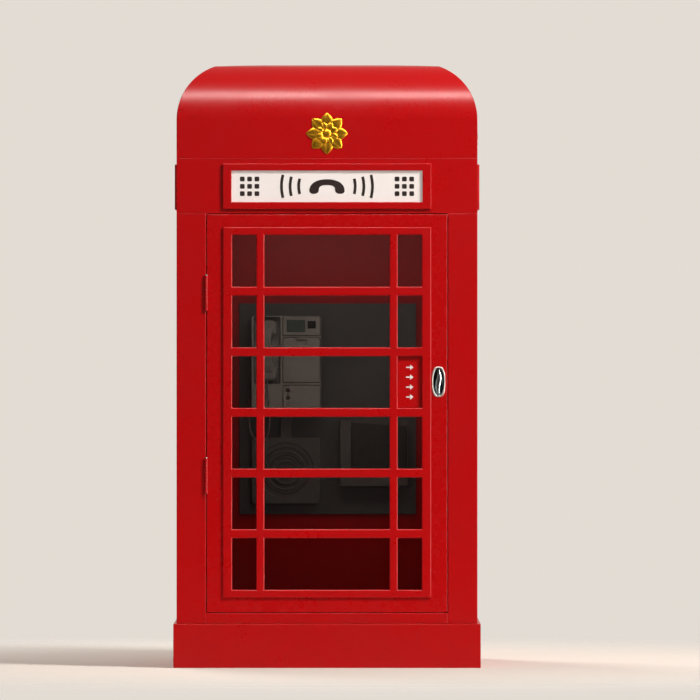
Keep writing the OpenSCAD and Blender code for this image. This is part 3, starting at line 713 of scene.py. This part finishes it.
@dataclass
class HandsetCord:
    """An interlocked steel hose that hangs in one loop from the gland to the handset."""

    route: Sequence[Tuple[float, float, float]] = field(default_factory=lambda: CORD_ROUTE)
    radius: float = 4.0 * MM
    pitch: float = 5.0 * MM
    samples: int = 6
    sides: int = 14
    steps: int = 60
    seam_share: float = 0.12

    def build(self) -> bpy.types.Object:
        """Sweeps a ribbed ring along the route: the radius dips by a tenth at each seam of the hose.

        Returns:
            The cord, swept along its route between the booth and the handset.
        """
        line = through(self.route, self.steps)
        gaps = np.linalg.norm(np.diff(line, axis=0), axis=1)
        run = np.concatenate([[0.0], np.cumsum(gaps)])
        rings = int(run[-1] / self.pitch) * self.samples
        along = np.linspace(0, run[-1], rings + 1)
        centre = np.column_stack([np.interp(along, run, line[:, k]) for k in range(3)])
        ahead = np.gradient(centre, axis=0)
        ahead /= np.linalg.norm(ahead, axis=1, keepdims=True)
        side = np.cross(ahead, (0.0, 1.0, 0.0))
        side /= np.linalg.norm(side, axis=1, keepdims=True)
        up = np.cross(ahead, side)
        seam = np.abs(np.sin(np.pi * along / self.pitch)) ** 0.5
        radius = (self.radius * (1 - self.seam_share + self.seam_share * seam))[:, None, None]
        turn = np.linspace(0, 2 * np.pi, self.sides, endpoint=False)[None, :, None]
        tube = centre[:, None] + radius * (np.cos(turn) * side[:, None] + np.sin(turn) * up[:, None])
        piece = mesh_from("handset_hose", [loft(tube)])
        bpy.context.scene.collection.objects.link(piece)
        dress(piece, HOSE_STEEL)
        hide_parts("handset_cord")
        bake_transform(piece)
        log.info("handset_hose: %.3f m long", run[-1])
        return piece


# ---------------- castings

@dataclass
class Castings:
    """The enamelled shell: base, posts, side frames, back, fascia, roof, and the lamp under it."""

    edges: Dict[str, float] = field(default_factory=lambda: {
        "plinth": 2.5, "threshold": 2.5, "corner_post_front_left": 2.5, "corner_post_front_right": 2.5,
        "corner_post_rear_left": 2.5, "corner_post_rear_right": 2.5, "side_frame_left": 2.5,
        "side_frame_right": 2.5, "back_panel": 4.0, "fascia": 1.0, "sign_frames": 3.5, "roof": 2.0})
    pierced: Sequence[str] = ("side_frame_left", "side_frame_right")

    def build(self) -> None:
        """Eases and dresses every casting, each with its own edge radius in millimetres."""
        for node, edge in self.edges.items():
            eased(node, ENAMEL, edge, pierced=node in self.pierced)
        eased("floor_slab", CONCRETE, 3.0)
        # The door stops take the inside enamel, whose darker red is painted shade.
        eased("door_stops", SHADED_INNER_ENAMEL, 2.0)
        eased("ceiling_panel", CEILING, 1.0)
        eased("lamp_fitting", ZINC, 1.5)
        for node in ("side_glass_left", "side_glass_right"):
            eased(node, SMOKED_GLASS, 0.8, steps=2)
        eased("sign_glasses", OPAL, 0.8, steps=2)
        dress(frame["nodes"]["lamp_tube"], LAMP)


@dataclass
class Rosette:
    """A gilt flower of cupped petals round a domed boss, one on each side of the roof."""

    petals: int = 8
    relief: float = 12 * MM

    def build(self) -> bpy.types.Object:
        """Makes all four flowers.

        Returns:
            The piece that stands for the CAD rosettes.
        """
        low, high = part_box("rosettes")
        middle_z = (low.z + high.z) / 2
        radius = (high.z - low.z) / 2
        face = low.y + self.relief
        flower = [(points + (0.0, face, middle_z), faces) for points, faces in self.flower(radius)]
        piece = mesh_from("gilt_rosettes", quarter_turns(flower))
        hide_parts("rosettes")
        return place_piece(piece, "booth", GOLD_LEAF)

    def flower(self, radius: float) -> List[Shell]:
        """Builds one flower that faces -Y around the origin.

        Args:
            radius: from the middle to a petal's tip.

        Returns:
            Its shells: a ring of petals, a ring of small inner petals and a boss.
        """
        shells = [self.petal(radius, 0.30, 0.98, 0.30, 8.5 * MM, k / self.petals)
                  for k in range(self.petals)]
        shells += [self.petal(radius, 0.16, 0.60, 0.20, 10.5 * MM, (k + 0.5) / self.petals)
                   for k in range(self.petals)]
        shells.append(self.boss(radius * 0.2, 11.5 * MM))
        return shells

    def petal(self, radius: float, start: float, stop: float, width: float, height: float,
              share: float) -> Shell:
        """One petal: its half-width swells as the sine of the way along, to a soft point, and its
        face is an arch across with a groove down the middle.

        Args:
            radius: the flower's radius.
            start: the petal's foot, as a share of the radius.
            stop: its tip, as a share of the radius.
            width: its half-width, as a share of the radius.
            height: how far its crest stands out.
            share: its place round the flower, as a share of a turn.

        Returns:
            A closed shell of rings across the petal, from its foot to its tip.
        """
        along = np.linspace(0.02, 0.98, 15)[:, None]
        around = np.linspace(0, 2 * np.pi, 24, endpoint=False)[None, :]
        half = radius * width * np.sin(np.pi * along ** 0.75) ** 0.8
        across = half * np.cos(around)
        crest = height * np.sin(np.pi * along) ** 0.5
        groove = 1 - 0.35 * np.exp(-(np.cos(around) / 0.22) ** 2)
        out = crest * np.maximum(np.sin(around), 0.0) ** 0.8 * groove
        reach = radius * (start + (stop - start) * along) + 0 * around
        angle = 2 * np.pi * share
        x = reach * math.sin(angle) + across * math.cos(angle)
        z = reach * math.cos(angle) - across * math.sin(angle)
        return loft(np.stack([x, -out, z], -1))

    def boss(self, radius: float, height: float) -> Shell:
        """A low dome: rings whose radius falls as the cosine of the climb, with a bead at its foot.

        Args:
            radius: the dome's radius.
            height: how far it stands out.

        Returns:
            A closed shell around the origin that faces -Y.
        """
        climb = np.linspace(0, 0.48 * np.pi, 12)
        rings = [(radius * 1.15, 0.0), (radius * 1.2, height * 0.25), (radius * 1.05, height * 0.35)]
        rings += [(radius * math.cos(c), height * (0.35 + 0.65 * math.sin(c))) for c in climb]
        return loft(np.array([upright(r * superellipse(40, 2.0), -h) for r, h in rings]))


@dataclass
class SignSymbols:
    """Stove-enamelled symbols on the opal glass: a handset with sound arcs between two keypads."""

    relief: float = 0.9 * MM
    key: float = 0.022
    key_pitch: float = 0.034

    def build(self) -> bpy.types.Object:
        """Lays the symbols on all four glasses.

        Returns:
            The piece.
        """
        low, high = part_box("sign_glasses")
        face = low.y - 0.1 * MM
        z = (low.z + high.z) / 2
        sign = [prism(outline + (0.0, z), face - self.relief, face, 0.25 * MM) for outline in self.outlines()]
        piece = mesh_from("sign_symbols", quarter_turns(sign), smooth=False)
        return place_piece(piece, "booth", SYMBOL_ENAMEL)

    def outlines(self) -> List[np.ndarray]:
        """Lists every outline of one sign, in X and Z round the sign's middle."""
        half = [(0, 33), (30, 30), (58, 20), (76, 2), (82, -18), (78, -30), (62, -35), (44, -30), (38, -18),
                (36, -6), (22, 4)]
        left = [(-x, z) for x, z in half[:0:-1]]
        shapes = [through([(x * MM, z * MM) for x, z in half + [(0, 6)] + left], 6, closed=True)[::-1]]
        square = superellipse(20, 5.0) * self.key / 2
        for side in (-1, 1):
            shapes += [self.arc(side, 0.125 + 0.040 * k, (34 + 9 * k) * MM) for k in range(3)]
            shapes += [square + (side * 0.36 + (i - 1) * self.key_pitch, (j - 1) * self.key_pitch)
                       for i in range(3) for j in range(3)]
        return shapes

    def arc(self, side: int, radius: float, half_height: float) -> np.ndarray:
        """One sound arc: a band between two circles 13 mm apart, whose ends lie at half_height.

        Args:
            side: 1 to the right of the handset, -1 to the left.
            radius: the inner circle's radius.
            half_height: how far the band reaches above and below the middle.

        Returns:
            The band's outline, anticlockwise from the front.
        """
        reach = math.asin(half_height / radius)
        angle = np.linspace(-reach, reach, 25)
        rows = [r * np.column_stack([np.cos(angle), np.sin(angle)]) for r in (radius, radius + 13 * MM)]
        shape = np.vstack([rows[0], rows[1][::-1]]) * (side, 1)
        return shape if side < 0 else shape[::-1]


# ---------------- door

@dataclass
class Door:
    """The hinged door: leaf, glazing frame, panes, pull plate with arrows, cup handle and hinges."""

    arrows: int = 4
    arrow_pitch: float = 46 * MM
    arrow_half: float = 17 * MM
    front_depth: float = 17 * MM

    def build(self) -> None:
        """Eases and dresses the door's parts, and makes the arrows and the handle."""
        front = CAD_BOX[0].y + self.front_depth
        eased("door_leaf", DOOR_ENAMEL, 1.5, 3.0, front)
        eased("glazing_frame", ENAMEL, 0.8, 5.5, front, 4, pierced=True)
        eased("door_beads", ENAMEL, 1.2)
        eased("pull_plate", ENAMEL, 1.5)
        eased("door_glass", SMOKED_GLASS, 0.8, steps=2)
        for node in ("hinge_door_leaves", "hinge_post_leaves"):
            eased(node, ENAMEL, 0.6)
        eased("hinge_pins", STEEL, 0.8)
        self.plate_arrows()
        self.cup()
        self.bezel()
        self.grip()

    def plate_arrows(self) -> bpy.types.Object:
        """Stacks arrows that point to the handle on the pull plate.

        Returns:
            The piece.
        """
        low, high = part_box("pull_plate")
        x, z = (low.x + high.x) / 2, (low.z + high.z) / 2
        h = self.arrow_half
        outline = np.array([(-h, -0.18 * h), (0.1 * h, -0.18 * h), (0.1 * h, -0.75 * h), (h, 0.0),
                            (0.1 * h, 0.75 * h), (0.1 * h, 0.18 * h), (-h, 0.18 * h)])
        shells = [prism(outline + (x, z + (k - (self.arrows - 1) / 2) * self.arrow_pitch),
                        low.y - 0.9 * MM, low.y - 0.05 * MM, 0.2 * MM) for k in range(self.arrows)]
        piece = mesh_from("pull_arrows", shells, smooth=False)
        return place_piece(piece, "door", WHITE_ENAMEL)

    def cup(self) -> bpy.types.Object:
        """Presses the oval cup: a profile of inset and depth carried round an ellipse.

        Returns:
            The piece.
        """
        inside = [(4.7, 1.4), (5.3, 0.9), (6.0, 2.6), (6.8, 8.0), (8.0, 15.0), (10.5, 20.5), (14.5, 23.6),
                  (20.0, 24.6), (30.0, 25.0)]
        outside = [(30.2, 26.8), (19.0, 26.4), (13.0, 25.4), (8.8, 22.0), (6.0, 15.0), (4.2, 6.0)]
        piece = mesh_from("pressed_cup", [self.oval([(*point, 2.0) for point in inside + outside], 72)])
        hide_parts("handle_cup")
        # The cup's chrome carries painted shade and a painted cool reflection in its colour.
        return place_piece(piece, "door", SHADED_CUP_CHROME)

    def bezel(self) -> bpy.types.Object:
        """Rolls the cup's bezel: a bead between a superellipse outside and an ellipse inside.

        Returns:
            The piece.
        """
        bead = [(0.0, 2.9), (0.1, 1.2), (0.9, -0.3), (2.4, -1.0), (4.0, -0.7), (5.0, 0.3), (5.3, 2.0),
                (4.6, 2.9)]
        rows = [(inset, depth, 3.0 - inset * 0.18) for inset, depth in bead]
        return place_piece(mesh_from("handle_bezel", [self.oval(rows, 96)]), "door", NICKEL)

    @staticmethod
    def oval(rows: Sequence[Tuple[float, float, float]], sides: int) -> Shell:
        """Carries a profile round the handle cup's outline: each ring is a superellipse whose half sizes
        are the cup's less the inset, at its own depth.

        Args:
            rows: inset from the outline and depth behind its front, both in millimetres, and the
                superellipse's power.
            sides: points round each ring.

        Returns:
            A closed ring-shaped shell.
        """
        low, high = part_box("handle_cup")
        middle, half = (low + high) / 2, (high - low) / 2
        rings = [upright(superellipse(sides, power) * (half.x - inset * MM, half.z - inset * MM)
                         + (middle.x, middle.z), low.y + depth * MM) for inset, depth, power in rows]
        return loft(np.array(rings), closed=True)

    def grip(self) -> bpy.types.Object:
        """Forges the grip: a flat lens section that turns by a third of a right angle each way as it
        rises, widest in the middle by the cosine of the way to its ends.

        Returns:
            The piece.
        """
        low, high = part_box("handle_grip")
        middle = (low + high) / 2
        half = (high.z - low.z) / 2
        rise = np.linspace(-1, 1, 49)
        width = (3.5 + 9.5 * np.cos(rise * np.pi / 2) ** 0.9) * MM
        depth = (3.0 + 3.2 * np.cos(rise * np.pi / 2)) * MM
        twist = np.radians(32) * rise
        wave = superellipse(32, 1.8)
        flat_x, flat_y = width[:, None] * wave[None, :, 0], depth[:, None] * wave[None, :, 1]
        c, s = np.cos(twist)[:, None], np.sin(twist)[:, None]
        lean = 5.0 * MM * np.sin(rise * np.pi)[:, None]
        rings = np.stack([middle.x + lean + flat_x * c - flat_y * s, middle.y + flat_x * s + flat_y * c,
                          np.broadcast_to(middle.z + half * rise[:, None], flat_x.shape)], -1)
        piece = mesh_from("twisted_grip", [loft(rings)])
        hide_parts("handle_grip")
        return place_piece(piece, "door", CHROME)


# ---------------- payphone

@dataclass
class Payphone:
    """The wall payphone: shell, display, keys with their numbers, lids, locks and handset."""

    legends: Dict[str, str] = field(default_factory=lambda: {
        **{f"key_{n}": str(n) for n in range(10)}, "key_star": "*", "key_hash": "#"})
    legend_height: float = 15 * MM
    # Dark bands round the lids and the recess paint the shadow of the gaps round them; these set their width,
    # offset and relief.
    seal_width: float = 3 * MM
    seal_gap: float = 0.4 * MM
    seal_relief: float = 0.8 * MM
    front: float = 0.482
    sealed: Sequence[Tuple[Tuple[float, float], ...]] = (((-0.212, 1.549), (-0.037, 1.634)),
                                                         ((-0.349, 1.321), (-0.228, 1.634)))

    def build(self) -> None:
        """Eases and dresses the phone, and makes the key numbers and the handset."""
        eased("phone_shell", POWDER, 1.2, 2.4, self.front + 8 * MM)
        for node in ("keypad_cover", "service_door"):
            eased(node, POWDER, 1.4)
        eased("display_lens", DISPLAY, 0.8)
        eased("card_reader", BLACK_ABS, 0.8)
        for node, legend in self.legends.items():
            eased(node, STEEL, 1.2)
            self.legend(node, legend)
        for node in ("lock_upper", "lock_lower"):
            eased(node, STEEL, 0.4)
        eased("hook_lever", STEEL, 1.5)
        eased("handset_caps", BLACK_ABS, 2.0)
        eased("cord_gland", STEEL, 1.5)
        self.seals()
        self.handset()

    def seals(self) -> bpy.types.Object:
        """Fits dark rubber bands round the handset recess, the display's bezel and both lids: painted shadow
        standing for the shade in the gaps round them.

        Returns:
            The piece: four bands, each between two superellipse loops.
        """
        back = self.front + 0.05 * MM
        ahead, wide = back - self.seal_relief, self.seal_width + self.seal_gap
        band = ((self.seal_gap, back), (self.seal_gap, ahead), (wide, ahead), (wide, back))
        lids = [[(v.x, v.z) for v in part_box(node)] for node in ("keypad_cover", "service_door")]
        shells = []
        for low, high in lids + list(self.sealed):
            middle, half = (np.array(low) + high) / 2, (np.array(high) - low) / 2
            rings = [upright(middle + superellipse(96, 22.0) * (half + grow), y) for grow, y in band]
            shells.append(loft(np.array(rings), closed=True))
        return place_piece(mesh_from("lid_gap_shadow_seals", shells), "booth", BLACK_ABS)

    def legend(self, node: str, letters: str) -> bpy.types.Object:
        """Raises a key's number on its cap.

        Args:
            node: the key.
            letters: the number or sign.

        Returns:
            The piece.
        """
        low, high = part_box(node)
        curve = bpy.data.curves.new(node + "_number", "FONT")
        curve.body, curve.size = letters, self.legend_height
        curve.extrude = 0.25 * MM
        curve.align_x, curve.align_y = "CENTER", "CENTER"
        text = bpy.data.objects.new(node + "_text", curve)
        bpy.context.scene.collection.objects.link(text)
        bpy.context.view_layer.update()
        mesh = bpy.data.meshes.new_from_object(text.evaluated_get(bpy.context.evaluated_depsgraph_get()))
        bpy.data.objects.remove(text)
        points = np.empty(len(mesh.vertices) * 3)
        mesh.vertices.foreach_get("co", points)
        points = points.reshape(-1, 3)
        points -= (points.max(0) + points.min(0)) / 2
        placed = np.column_stack([points[:, 0] + (low.x + high.x) / 2, low.y - points[:, 2],
                                  points[:, 1] + (low.z + high.z) / 2])
        mesh.vertices.foreach_set("co", placed.ravel())
        mesh.materials.clear()
        piece = bpy.data.objects.new(node + "_number", mesh)
        return place_piece(piece, node, BLACK_ABS)

    def handset(self) -> bpy.types.Object:
        """Moulds the handset: two superellipse heads and an arched grip that narrows to its middle.

        Returns:
            The piece.
        """
        low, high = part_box("handset_grip")
        x = (low.x + high.x) / 2
        back = high.y
        ear, mouth = high.z - 39 * MM, low.z + 42 * MM
        shells = [self.head(x, ear, back, 46 * MM, 38.5 * MM),
                  self.head(x, mouth, back, 45 * MM, 41.5 * MM)]
        rise = np.linspace(-1, 1, 41)
        centre_z = (ear + mouth) / 2 + rise * ((ear - mouth) / 2)
        bow = low.y + 17 * MM + 16 * MM * np.abs(rise) ** 3
        half_width = (20 + 12 * np.abs(rise) ** 4) * MM
        half_depth = (15 + 2 * np.abs(rise) ** 2) * MM
        wave = superellipse(36, 2.8)
        rings = np.stack([x + half_width[:, None] * wave[None, :, 0],
                          bow[:, None] + half_depth[:, None] * wave[None, :, 1],
                          np.broadcast_to(centre_z[:, None], (len(rise), len(wave)))], -1)
        shells.append(loft(rings))
        piece = mesh_from("moulded_handset", shells)
        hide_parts("handset_grip")
        return place_piece(piece, "handset", GREY_ABS)

    def head(self, x: float, z: float, back: float, half_x: float, half_z: float) -> Shell:
        """One end of the handset: superellipse rings that shrink over the front as a quarter round.

        Args:
            x: its middle.
            z: its middle.
            back: the flat face that takes the cap.
            half_x: half its width.
            half_z: half its height.

        Returns:
            A closed shell from the back face to the front.
        """
        wave = superellipse(48, 4.0) * (half_x, half_z)
        climb = np.linspace(0, np.pi / 2, 10)
        rings = [(0.96, 0.0), (1.0, 2 * MM), (1.0, 20 * MM)]
        rings += [(1 - 0.32 * (1 - math.cos(c)), (20 + 16 * math.sin(c)) * MM) for c in climb[1:]]
        return loft(np.array([upright(share * wave + (x, z), back - depth) for share, depth in rings]))


@dataclass
class WallFittings:
    """The backboard and what hangs below the payphone: duct, sounder, directory holder and book."""

    page_gap: float = 3 * MM
    boards: float = 3 * MM
    spine: float = 4 * MM
    slope: float = 21 * MM
    ring_radii: Tuple[float, ...] = (110 * MM, 74 * MM, 40 * MM, 18 * MM)
    ring_width: float = 3.4 * MM

    def build(self) -> None:
        """Eases and dresses the fittings, and binds the directory."""
        eased("backboard", GREY_STOVE, 2.0)
        eased("cable_duct", DARK_STOVE, 2.0)
        eased("sounder", DARK_STOVE, 2.0)
        eased("directory_holder", DARK_STOVE, 1.2)
        self.sounder_rings()
        self.directory()

    def sounder_rings(self) -> bpy.types.Object:
        """Lays thin rubber rings between the sounder's grooves: low humps carried round circles.

        Returns:
            The piece.
        """
        low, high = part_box("sounder")
        centre = np.array([low.x + high.x, low.z + high.z]) / 2
        hump = [(-0.5, 0.3), (-0.35, -0.7), (0.0, -1.1), (0.35, -0.7), (0.5, 0.3)]
        circle = superellipse(96, 2.0)
        shells = [loft(np.array([upright(centre + (radius + across * self.ring_width) * circle,
                                         low.y + depth * MM) for across, depth in hump]), closed=True)
                  for radius in self.ring_radii]
        return place_piece(mesh_from("sounder_rings", shells), "booth", BLACK_ABS)

    def directory(self) -> bpy.types.Object:
        """Binds the directory: two cloth boards with a rounded spine, and pages set back inside.

        Returns:
            The bound boards; the pages are their own piece.
        """
        low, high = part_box("directory_book")

        def sheet_outline(inset: float) -> np.ndarray:
            """The book's outline from the front, with its oblique top, drawn in by an inset."""
            return np.array([(low.x + inset, low.z + inset), (high.x - inset, low.z + inset),
                             (high.x - inset, high.z - self.slope - inset), (low.x + inset, high.z - inset)])

        boards = [prism(sheet_outline(0.0), low.y, low.y + self.boards, 0.8 * MM),
                  prism(sheet_outline(0.0), high.y - self.boards, high.y, 0.8 * MM)]
        bound = low.x + self.spine
        spine = np.array([(low.x, low.z), (bound, low.z), (bound, high.z), (low.x, high.z)])
        boards.append(prism(spine, low.y + self.boards, high.y - self.boards, 0.5 * MM))
        cover = mesh_from("directory_boards", boards, smooth=False)
        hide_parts("directory_book")
        place_piece(cover, "directory_book", BOOK_CLOTH)
        pages = mesh_from("directory_pages", [prism(sheet_outline(self.page_gap) + (1.5 * MM, 0.0),
                          low.y + self.boards, high.y - self.boards)], smooth=False)
        place_piece(pages, "directory_book", PAPER)
        return cover


def main() -> None:
    """Builds the studio, the cord and each sub-assembly in order."""
    logging.basicConfig(level=logging.INFO, format="%(message)s")
    Studio().build()
    HandsetCord().build()
    Castings().build()
    Rosette().build()
    SignSymbols().build()
    Door().build()
    Payphone().build()
    WallFittings().build()


if __name__ == "__main__":
    main()
